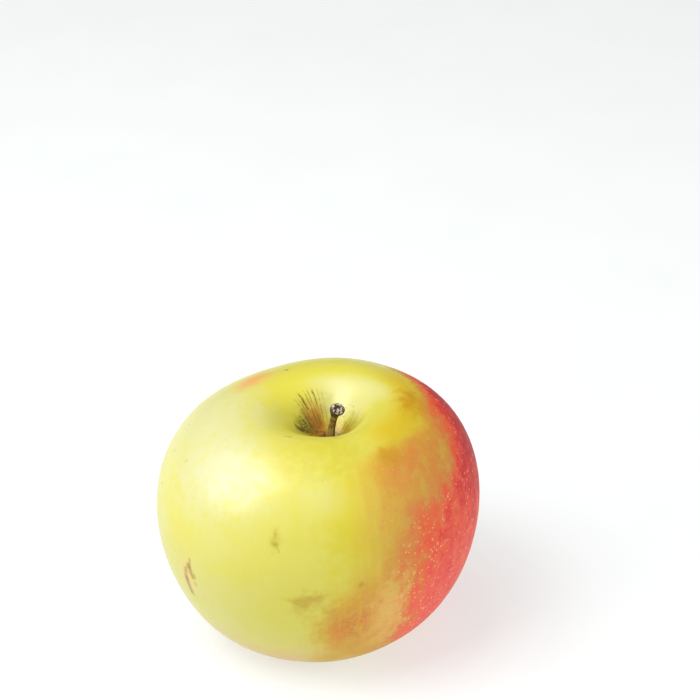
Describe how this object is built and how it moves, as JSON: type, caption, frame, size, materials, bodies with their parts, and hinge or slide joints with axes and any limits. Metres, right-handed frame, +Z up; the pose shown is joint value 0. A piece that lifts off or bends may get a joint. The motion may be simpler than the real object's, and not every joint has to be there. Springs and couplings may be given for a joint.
{
  "type": "whole apple",
  "caption": "Round, slightly lopsided whole apple standing on its base, with a deep stem cavity, a short bent stem with a knobbed end, and a dried calyx in the basin underneath.",
  "frame": {"origin": "on the ground, under the middle of the fruit's girth", "axes": "+Z up along the core, from the calyx to the stem; +X towards the blushed cheek; -Y towards the front, the side that the stem bends to"},
  "size_m": [0.0794, 0.0792, 0.0645],
  "materials": {
    "waxy_skin": "waxy fruit skin, yellow green with a red blush on the +X side",
    "stem_bark": "rough brown bark",
    "dry_sepal": "dry, matt brown"
  },
  "bodies": {
    "root": {"fruit": "waxy_skin", "stem": "stem_bark", "calyx": "dry_sepal"}
  },
  "joints": []
}
